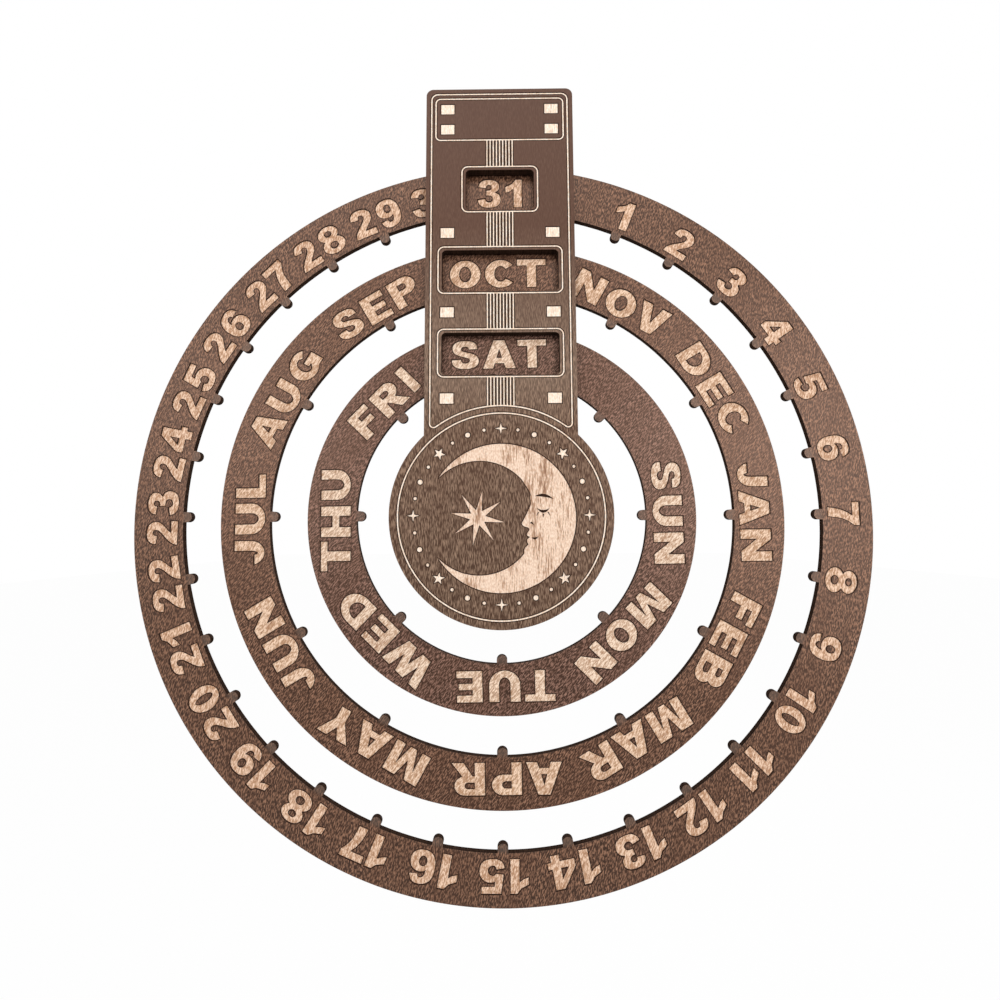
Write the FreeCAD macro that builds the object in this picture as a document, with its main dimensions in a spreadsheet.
import FreeCAD, Part
import math
import os
import Sketcher

# Wall-hung ring calendar of 2 and 3 mm plywood, in millimetres.
# Origin: the rings' common centre on the back face. +Z is up, +X is to the right
# for a person who reads the calendar, and the front faces -Y.
# Behind the front plate lies a back plate of the same outline. Between them four
# blocks leave three curved channels, in which the date, month and day rings turn.

doc = FreeCAD.newDocument("RingCalendar")
sheet = doc.addObject("Spreadsheet::Sheet", "Sizes")

# Driving sizes: name, value, and what it is
drivingSizes = [
    ("plateThickness", 3.0, "plywood of the front plate and the back plate"),
    ("ringThickness", 2.0, "plywood of the rings"),
    ("channelGap", 0.5, "room in front of a ring and behind it"),
    ("discRadius", 45.0, "round lower end of the plates"),
    ("discSpace", 14.0, "finger room between the disc and the day ring"),
    ("ringSpace", 15.5, "finger room between two rings"),
    ("bandWidth", 20.0, "radial width of a ring"),
    ("dateStops", 32.0, "31 dates and one blank place"),
    ("monthStops", 12.0, "12 months"),
    ("dayStops", 8.0, "7 weekdays and one blank place"),
    ("nubReach", 3.5, "how far a nub stands out of the ring's inner edge"),
    ("nubWidth", 4.2, "width of a nub with its half-round tip"),
    ("nubRoot", 1.5, "how deep a nub is rooted in the band"),
    ("saddleGap", 0.3, "between a nub's tip and the saddle that it rides on"),
    ("rimGap", 1.0, "between a ring's rim and the block outside it"),
    ("notchDepth", 0.8, "depth of the rest notches in a saddle's crown"),
    ("notchPlay", 0.5, "room at each side of a nub in its notch"),
    ("towerWidth", 62.4, "width of the upright part of the plates"),
    ("crownHeight", 33.0, "the tower's top edge above the date ring"),
    ("cornerRadius", 3.0, "round of the two top corners"),
    ("windowTrim", 2.1, "a window is this much lower than the band is wide"),
    ("windowDrop", 2.7, "window's middle below the middle of the ring's band"),
    ("windowMargin", 6.9, "beside the month and weekday windows"),
    ("dateWindowMargin", 16.8, "beside the date window"),
    ("windowCorner", 1.8, "corner radius of the windows"),
    ("keyholeDrop", 21.0, "keyhole's round mouth below the top edge"),
    ("keyholeMouthRadius", 4.5, "lets an 8 mm screw head in"),
    ("keyholeSlotWidth", 4.6, "holds a 4 mm screw shank"),
    ("keyholeTravel", 8.5, "from the mouth up to the slot's end"),
    ("headRoom", 0.6, "room round the screw head inside the crown block"),
    ("screwHeadRadius", 2.4, "countersunk head of a back screw"),
    ("screwShankRadius", 1.2, "shank of a back screw"),
    ("screwTipLength", 1.5, "pointed end of a back screw"),
    ("screwShort", 1.0, "a screw's point stays this far behind the front plate"),
    ("screwFit", 0.1, "room round a screw in its hole"),
    ("screwMargin", 9.2, "screws from the tower's edges"),
    ("crownScrewDrop", 8.0, "screws of the crown block below the top edge"),
    ("discScrewMargin", 11.0, "lower screws of the disc block from its rim"),
]
for row, (alias, size, note) in enumerate(drivingSizes, start=1):
    sheet.set("A%d" % row, alias)
    sheet.set("B%d" % row, str(size))
    sheet.set("C%d" % row, note)
    sheet.setAlias("B%d" % row, alias)
doc.recompute()

# Sizes that follow from the driving ones, as expressions
S = "Sizes."
blockThickness = "(Sizes.ringThickness + 2 * Sizes.channelGap)"
ringBack = "(Sizes.plateThickness + Sizes.channelGap)"
frontBack = "(Sizes.plateThickness + %s)" % blockThickness
dayRadius = "(Sizes.discRadius + Sizes.discSpace + Sizes.bandWidth)"
monthRadius = "(%s + Sizes.ringSpace + Sizes.bandWidth)" % dayRadius
dateRadius = "(%s + Sizes.ringSpace + Sizes.bandWidth)" % monthRadius
halfTower = "(Sizes.towerWidth / 2)"
towerTop = "(%s + Sizes.crownHeight)" % dateRadius
windowHeight = "(Sizes.bandWidth - Sizes.windowTrim)"
nubHalf = "(Sizes.nubWidth / 2)"
keyholeZ = "(%s - Sizes.keyholeDrop)" % towerTop
keyholeEnd = "(%s + Sizes.keyholeTravel)" % keyholeZ
screwHole = "(Sizes.screwShankRadius + Sizes.screwFit)"
screwSink = "(Sizes.screwHeadRadius - Sizes.screwShankRadius)"
screwX = "(%s - Sizes.screwMargin)" % halfTower
shankLength = "(%s - Sizes.screwShort - Sizes.screwTipLength)" % frontBack
rings = {
    "date": (dateRadius, S + "dateStops", S + "dateWindowMargin"),
    "month": (monthRadius, S + "monthStops", S + "windowMargin"),
    "day": (dayRadius, S + "dayStops", S + "windowMargin"),
}


def innerRadius(ring):
    return "(%s - Sizes.bandWidth)" % rings[ring][0]


def tipRadius(ring):
    return "(%s - Sizes.nubReach)" % innerRadius(ring)


def saddleRadius(ring):
    return "(%s - Sizes.saddleGap)" % tipRadius(ring)


def rimRadius(ring):
    return "(%s + Sizes.rimGap)" % rings[ring][0]


def measure(expression):
    return float(sheet.evalExpression(expression))


def originPlane(body, role):
    return [f for f in body.Origin.OriginFeatures if f.Role == role][0]


def newBody(label, back=""):
    # A body whose sketches lie on its back face, "back" in front of the wall.
    body = doc.addObject("PartDesign::Body", label)
    body.Label = label
    if back:
        body.setExpression("Placement.Base.y", "-" + back)
    return body


def newSketch(body, name):
    # In the upright plane: sketch x is +X, sketch y is +Z, pads grow towards -Y.
    sketch = body.newObject("Sketcher::SketchObject", name)
    sketch.AttachmentSupport = [(originPlane(body, "XZ_Plane"), "")]
    sketch.MapMode = "FlatFace"
    return sketch


def point(x, z):
    return FreeCAD.Vector(x, z, 0)


def bind(sketch, name, kind, first, expression):
    index = sketch.addConstraint(Sketcher.Constraint(kind, *first, measure(expression)))
    sketch.renameConstraint(index, name)
    sketch.setExpression("Constraints." + name, expression)


def addLine(sketch, start, end):
    return sketch.addGeometry(Part.LineSegment(point(*start), point(*end)), False)


def addArc(sketch, centre, radius, startAngle, endAngle):
    circle = Part.Circle(point(*centre), FreeCAD.Vector(0, 0, 1), radius)
    return sketch.addGeometry(Part.ArcOfCircle(circle, startAngle, endAngle), False)


def join(sketch, first, firstEnd, second, secondEnd, kind="Coincident"):
    sketch.addConstraint(Sketcher.Constraint(kind, first, firstEnd, second, secondEnd))


def addCircle(sketch, name, radius, x="", z=""):
    # A circle about the origin, or about (x, z) where these are given.
    centre = (measure(x) if x else 0, measure(z) if z else 0)
    circle = Part.Circle(point(*centre), FreeCAD.Vector(0, 0, 1), measure(radius))
    index = sketch.addGeometry(circle, False)
    bind(sketch, name + "Radius", "Radius", (index,), radius)
    if not x and not z:
        join(sketch, index, 3, -1, 1)
    elif not x:
        sketch.addConstraint(Sketcher.Constraint("PointOnObject", index, 3, -2))
        bind(sketch, name + "Z", "DistanceY", (-1, 1, index, 3), z)
    else:
        bind(sketch, name + "X", "DistanceX", (-1, 1, index, 3), x)
        bind(sketch, name + "Z", "DistanceY", (-1, 1, index, 3), z)


def addRoundedBox(sketch, name, width, low, high, corner):
    # Upright rectangle with round corners, symmetrical about the sketch's y axis.
    x = measure(width) / 2
    bottom = measure(low)
    top = measure(high)
    r = measure(corner)
    lower = addLine(sketch, (r - x, bottom), (x - r, bottom))
    right = addLine(sketch, (x, bottom + r), (x, top - r))
    upper = addLine(sketch, (x - r, top), (r - x, top))
    left = addLine(sketch, (-x, top - r), (-x, bottom + r))
    corners = []
    for index, (cx, cz) in enumerate([(x - r, bottom + r), (x - r, top - r),
                                      (r - x, top - r), (r - x, bottom + r)]):
        start = (index - 1) * math.pi / 2
        corners.append(addArc(sketch, (cx, cz), r, start, start + math.pi / 2))
    sides = [lower, right, upper, left]
    for index, arc in enumerate(corners):
        join(sketch, sides[index], 2, arc, 1, "Tangent")
        join(sketch, arc, 2, sides[(index + 1) % 4], 1, "Tangent")
    for arc in corners[1:]:
        sketch.addConstraint(Sketcher.Constraint("Equal", corners[0], arc))
    sketch.addConstraint(Sketcher.Constraint("Horizontal", lower))
    sketch.addConstraint(Sketcher.Constraint("Vertical", right))
    bind(sketch, name + "Corner", "Radius", (corners[0],), corner)
    bind(sketch, name + "Right", "DistanceX", (-1, 1, right, 1), width + " / 2")
    bind(sketch, name + "Width", "DistanceX", (left, 1, right, 2), width)
    bind(sketch, name + "Low", "DistanceY", (-1, 1, lower, 1), low)
    bind(sketch, name + "High", "DistanceY", (-1, 1, upper, 1), high)


def addUprightSlot(sketch, name, radius, low, high):
    # Half-round ends about the heights "low" and "high" on the sketch's y axis.
    r = measure(radius)
    bottom = measure(low)
    top = measure(high)
    right = addLine(sketch, (r, bottom), (r, top))
    upper = addArc(sketch, (0, top), r, 0, math.pi)
    left = addLine(sketch, (-r, top), (-r, bottom))
    lower = addArc(sketch, (0, bottom), r, math.pi, 2 * math.pi)
    join(sketch, right, 2, upper, 1, "Tangent")
    join(sketch, upper, 2, left, 1, "Tangent")
    join(sketch, left, 2, lower, 1, "Tangent")
    join(sketch, lower, 2, right, 1, "Tangent")
    for arc in (lower, upper):
        sketch.addConstraint(Sketcher.Constraint("PointOnObject", arc, 3, -2))
    bind(sketch, name + "Radius", "Radius", (upper,), radius)
    bind(sketch, name + "Low", "DistanceY", (-1, 1, lower, 3), low)
    bind(sketch, name + "High", "DistanceY", (-1, 1, upper, 3), high)


def addChannelOutline(sketch, lowRadius, highRadius):
    # Between two arcs about the centre, and straight at the tower's two edges.
    x = measure(halfTower)
    low = measure(lowRadius)
    high = measure(highRadius)
    lowZ = math.sqrt(low * low - x * x)
    highZ = math.sqrt(high * high - x * x)
    right = addLine(sketch, (x, lowZ), (x, highZ))
    crown = addArc(sketch, (0, 0), high, math.atan2(highZ, x), math.atan2(highZ, -x))
    left = addLine(sketch, (-x, highZ), (-x, lowZ))
    sole = addArc(sketch, (0, 0), low, math.atan2(lowZ, x), math.atan2(lowZ, -x))
    join(sketch, right, 2, crown, 1)
    join(sketch, crown, 2, left, 1)
    join(sketch, left, 2, sole, 2)
    join(sketch, sole, 1, right, 1)
    join(sketch, crown, 3, -1, 1)
    join(sketch, sole, 3, -1, 1)
    bind(sketch, "crownRadius", "Radius", (crown,), highRadius)
    bind(sketch, "soleRadius", "Radius", (sole,), lowRadius)
    bind(sketch, "rightX", "DistanceX", (-1, 1, right, 1), halfTower)
    bind(sketch, "leftX", "DistanceX", (left, 1, -1, 1), halfTower)
    sketch.addConstraint(Sketcher.Constraint("Vertical", right))
    sketch.addConstraint(Sketcher.Constraint("Vertical", left))


def addTowerOutline(sketch, highRadius=""):
    # From the centre's height up to an arc about the centre or the straight top edge.
    x = measure(halfTower)
    if highRadius:
        radius = measure(highRadius)
        high = math.sqrt(radius * radius - x * x)
        upper = addArc(sketch, (0, 0), radius, math.atan2(high, x), math.atan2(high, -x))
        join(sketch, upper, 3, -1, 1)
        bind(sketch, "crownRadius", "Radius", (upper,), highRadius)
    else:
        high = measure(towerTop)
        upper = addLine(sketch, (x, high), (-x, high))
        sketch.addConstraint(Sketcher.Constraint("Horizontal", upper))
        bind(sketch, "topZ", "DistanceY", (-1, 1, upper, 1), towerTop)
    right = addLine(sketch, (x, 0), (x, high))
    left = addLine(sketch, (-x, high), (-x, 0))
    lower = addLine(sketch, (-x, 0), (x, 0))
    join(sketch, right, 2, upper, 1)
    join(sketch, upper, 2, left, 1)
    join(sketch, left, 2, lower, 1)
    join(sketch, lower, 2, right, 1)
    for line in (right, left):
        sketch.addConstraint(Sketcher.Constraint("Vertical", line))
    sketch.addConstraint(Sketcher.Constraint("PointOnObject", lower, 1, -1))
    sketch.addConstraint(Sketcher.Constraint("PointOnObject", lower, 2, -1))
    bind(sketch, "rightX", "DistanceX", (-1, 1, right, 1), halfTower)
    bind(sketch, "leftX", "DistanceX", (left, 2, -1, 1), halfTower)


def pad(body, sketch, name, length):
    feature = body.newObject("PartDesign::Pad", name)
    feature.Profile = sketch
    feature.setExpression("Length", length)
    body.Tip = feature
    doc.recompute()
    return feature


def cutThrough(body, sketch, name):
    # The sketch lies on the back face, so the cut runs the way the pads grow.
    before = body.Shape.Volume
    feature = body.newObject("PartDesign::Pocket", name)
    feature.Profile = sketch
    feature.Type = "ThroughAll"
    feature.Reversed = True
    body.Tip = feature
    doc.recompute()
    if not body.Shape.Volume < before:
        raise RuntimeError("%s cuts nothing" % name)
    return feature


def spin(body, feature, name, count):
    # Copies of a feature, evenly spaced about the rings' axis.
    pattern = body.newObject("PartDesign::PolarPattern", name)
    pattern.Originals = [feature]
    pattern.Axis = (originPlane(body, "Y_Axis"), [""])
    pattern.Angle = 360
    pattern.setExpression("Occurrences", count)
    body.Tip = pattern
    doc.recompute()
    return pattern


def roundTopCorners(body, radius):
    # The two edges along Y at the tower's top corners.
    base = body.Tip
    top = measure(towerTop)
    edges = []
    for number, edge in enumerate(base.Shape.Edges, start=1):
        box = edge.BoundBox
        along = box.YLength > box.XLength + box.ZLength
        if along and box.ZMin > top - measure(radius) and abs(box.Center.x) > measure(radius):
            edges.append("Edge%d" % number)
    fillet = body.newObject("PartDesign::Fillet", body.Label + "Corners")
    fillet.Base = (base, edges)
    fillet.setExpression("Radius", radius)
    body.Tip = fillet
    doc.recompute()


def sinkHoles(body):
    # Countersinks on the back face: the rims of all screw holes there.
    base = body.Tip
    hole = measure(screwHole)
    edges = []
    for number, edge in enumerate(base.Shape.Edges, start=1):
        curve = edge.Curve
        onBack = abs(edge.BoundBox.YMax) < hole / 2 and edge.BoundBox.YLength < hole / 2
        if onBack and isinstance(curve, Part.Circle) and abs(curve.Radius - hole) < hole / 20:
            edges.append("Edge%d" % number)
    chamfer = body.newObject("PartDesign::Chamfer", body.Label + "Sinks")
    chamfer.Base = (base, edges)
    chamfer.setExpression("Size", screwSink)
    body.Tip = chamfer
    doc.recompute()


# Height of a screw whose distance from the centre is "radius"
def onArc(radius):
    return "sqrt(%s ^ 2 - %s ^ 2)" % (radius, screwX)


def midChannel(outer, inner):
    return "((%s + %s) / 2)" % (saddleRadius(outer), rimRadius(inner))


# Heights of each block's back screws above the centre
blockScrews = {
    "crown_block": [towerTop + " - Sizes.crownScrewDrop"],
    "date_saddle": [onArc(midChannel("date", "month"))],
    "month_saddle": [onArc(midChannel("month", "day"))],
    "disc_block": ["sqrt(Sizes.discRadius ^ 2 - %s ^ 2)" % halfTower,
                   "-" + onArc("(Sizes.discRadius - Sizes.discScrewMargin)")],
}


def addScrewHoles(sketch, heights, radius):
    for row, height in enumerate(heights):
        for side, sign in (("Left", "-"), ("Right", "")):
            addCircle(sketch, "hole%s%d" % (side, row), radius, sign + screwX, height)


def addPilots(body, node):
    sketch = newSketch(body, node + "PilotSketch")
    addScrewHoles(sketch, blockScrews[node], screwHole)
    cutThrough(body, sketch, node + "Pilots")


def addNotches(body, node, ring):
    # Rest notches for the ring's nubs, as far apart as the nubs.
    sketch = newSketch(body, node + "NotchSketch")
    radius = "(%s + Sizes.notchPlay)" % nubHalf
    height = "%s + %s - Sizes.notchDepth" % (saddleRadius(ring), radius)
    addCircle(sketch, "notch", radius, "", height)
    notch = cutThrough(body, sketch, node + "Notch")
    spin(body, notch, node + "Notches", rings[ring][1])


def plateOutline(label, back=""):
    body = newBody(label, back)
    disc = newSketch(body, label + "DiscSketch")
    addCircle(disc, "disc", S + "discRadius")
    pad(body, disc, label + "Disc", S + "plateThickness")
    tower = newSketch(body, label + "TowerSketch")
    addTowerOutline(tower)
    pad(body, tower, label + "Tower", S + "plateThickness")
    roundTopCorners(body, S + "cornerRadius")
    return body


# Front plate: one window over each ring
def frontPlate():
    body = plateOutline("front_plate", frontBack)
    for ring, (radius, count, margin) in rings.items():
        sketch = newSketch(body, ring + "WindowSketch")
        middle = "%s - Sizes.bandWidth / 2 - Sizes.windowDrop" % radius
        addRoundedBox(sketch, "window", "(Sizes.towerWidth - 2 * %s)" % margin,
                      "%s - %s / 2" % (middle, windowHeight),
                      "%s + %s / 2" % (middle, windowHeight), S + "windowCorner")
        cutThrough(body, sketch, ring + "Window")
    return body


# Back plate: countersunk screw holes and the keyhole that hangs on a wall screw
def backPlate():
    body = plateOutline("back_plate")
    mouth = newSketch(body, "keyholeMouthSketch")
    addCircle(mouth, "mouth", S + "keyholeMouthRadius", "", keyholeZ)
    cutThrough(body, mouth, "keyholeMouth")
    slot = newSketch(body, "keyholeSlotSketch")
    addUprightSlot(slot, "slot", "(Sizes.keyholeSlotWidth / 2)", keyholeZ, keyholeEnd)
    cutThrough(body, slot, "keyholeSlot")
    holes = newSketch(body, "screwHoleSketch")
    heights = [z for block in blockScrews.values() for z in block]
    addScrewHoles(holes, heights, screwHole)
    cutThrough(body, holes, "screwHoles")
    sinkHoles(body)
    return body


# Crown block: closes the tower above the date ring and has room for the wall screw's head
def crownBlock():
    node = "crown_block"
    body = newBody(node, S + "plateThickness")
    outline = newSketch(body, node + "Sketch")
    addTowerOutline(outline)
    pad(body, outline, node + "Pad", blockThickness)
    roundTopCorners(body, S + "cornerRadius")
    channel = newSketch(body, node + "ChannelSketch")
    addCircle(channel, "channel", rimRadius("date"))
    cutThrough(body, channel, node + "Channel")
    room = newSketch(body, node + "RoomSketch")
    addUprightSlot(room, "room", "(Sizes.keyholeMouthRadius + Sizes.headRoom)",
                   keyholeZ, keyholeEnd)
    cutThrough(body, room, node + "Room")
    addPilots(body, node)
    return body


# Saddle: a ring's nubs ride on its crown, and the next smaller ring turns under its sole
def saddle(ring, inner):
    node = ring + "_saddle"
    body = newBody(node, S + "plateThickness")
    outline = newSketch(body, node + "Sketch")
    addChannelOutline(outline, rimRadius(inner), saddleRadius(ring))
    pad(body, outline, node + "Pad", blockThickness)
    addNotches(body, node, ring)
    addPilots(body, node)
    return body


# Disc block: fills the round end between the plates and carries the day ring
def discBlock():
    node = "disc_block"
    body = newBody(node, S + "plateThickness")
    disc = newSketch(body, node + "DiscSketch")
    addCircle(disc, "disc", S + "discRadius")
    pad(body, disc, node + "Disc", blockThickness)
    neck = newSketch(body, node + "NeckSketch")
    addTowerOutline(neck, saddleRadius("day"))
    pad(body, neck, node + "Neck", blockThickness)
    addNotches(body, node, "day")
    addPilots(body, node)
    return body


# Ring with one nub on its inner edge for each place
def calendarRing(ring):
    node = ring + "_ring"
    body = newBody(node, ringBack)
    band = newSketch(body, node + "BandSketch")
    addCircle(band, "rim", rings[ring][0])
    addCircle(band, "bore", innerRadius(ring))
    pad(body, band, node + "Band", S + "ringThickness")
    sketch = newSketch(body, node + "NubSketch")
    half = measure(nubHalf)
    root = measure("%s + Sizes.nubRoot" % innerRadius(ring))
    neck = measure("%s + %s" % (tipRadius(ring), nubHalf))
    left = addLine(sketch, (-half, root), (-half, neck))
    tip = addArc(sketch, (0, neck), half, math.pi, 2 * math.pi)
    right = addLine(sketch, (half, neck), (half, root))
    top = addLine(sketch, (half, root), (-half, root))
    join(sketch, left, 2, tip, 1, "Tangent")
    join(sketch, tip, 2, right, 1, "Tangent")
    join(sketch, right, 2, top, 1)
    join(sketch, top, 2, left, 1)
    sketch.addConstraint(Sketcher.Constraint("Vertical", left))
    sketch.addConstraint(Sketcher.Constraint("Horizontal", top))
    sketch.addConstraint(Sketcher.Constraint("PointOnObject", tip, 3, -2))
    bind(sketch, "tipRound", "Radius", (tip,), nubHalf)
    bind(sketch, "tipZ", "DistanceY", (-1, 1, tip, 3), "%s + %s" % (tipRadius(ring), nubHalf))
    bind(sketch, "rootZ", "DistanceY", (-1, 1, top, 1), "%s + Sizes.nubRoot" % innerRadius(ring))
    nub = pad(body, sketch, node + "Nub", S + "ringThickness")
    spin(body, nub, node + "Nubs", rings[ring][1])
    return body


# Back screws: small countersunk wood screws, driven from behind into the blocks
def backScrew(name, x, z):
    head = doc.addObject("Part::Cone", name + "Head")
    head.setExpression("Radius1", S + "screwHeadRadius")
    head.setExpression("Radius2", S + "screwShankRadius")
    head.setExpression("Height", screwSink)
    shank = doc.addObject("Part::Cylinder", name + "Shank")
    shank.setExpression("Radius", S + "screwShankRadius")
    shank.setExpression("Height", shankLength)
    tip = doc.addObject("Part::Cone", name + "Tip")
    tip.setExpression("Radius1", S + "screwShankRadius")
    tip.Radius2 = 0
    tip.setExpression("Height", S + "screwTipLength")
    tip.setExpression("Placement.Base.z", shankLength)
    screw = doc.addObject("Part::MultiFuse", name)
    screw.Shapes = [head, shank, tip]
    screw.Placement.Rotation = FreeCAD.Rotation(FreeCAD.Vector(1, 0, 0), 90)
    screw.setExpression("Placement.Base.x", x)
    screw.setExpression("Placement.Base.y", "-Sizes.screwFit")
    screw.setExpression("Placement.Base.z", z)
    return screw


def backScrews():
    screws = []
    for node, heights in blockScrews.items():
        for height in heights:
            for sign in ("-", ""):
                name = "screw%d" % (len(screws) + 1)
                screws.append(backScrew(name, sign + screwX, height))
    group = doc.addObject("Part::Compound", "back_screws")
    group.Links = screws
    group.Label = "back_screws"
    return group


subParts = [frontPlate(), backPlate(), crownBlock(), saddle("date", "month"),
            saddle("month", "day"), discBlock(), calendarRing("date"),
            calendarRing("month"), calendarRing("day"), backScrews()]
doc.recompute()

for item in doc.Objects:
    if "Invalid" in item.State or "Error" in item.State:
        raise RuntimeError("%s is %s" % (item.Label, item.State))
for subPart in subParts:
    shape = subPart.Shape
    if shape.isNull() or not shape.isValid() or not shape.Solids:
        raise RuntimeError("%s has no valid solid" % subPart.Label)

os.makedirs("parts", exist_ok=True)
for subPart in subParts:
    box = subPart.Shape.BoundBox
    span = (box.XMin, box.XMax, box.YMin, box.YMax, box.ZMin, box.ZMax)
    solids = len(subPart.Shape.Solids)
    print("%-13s %2d solid(s) %10.1f mm3" % (subPart.Label, solids, subPart.Shape.Volume),
          "x %.1f..%.1f  y %.1f..%.1f  z %.1f..%.1f" % span)
    subPart.Shape.exportStep("parts/%s.step" % subPart.Label)
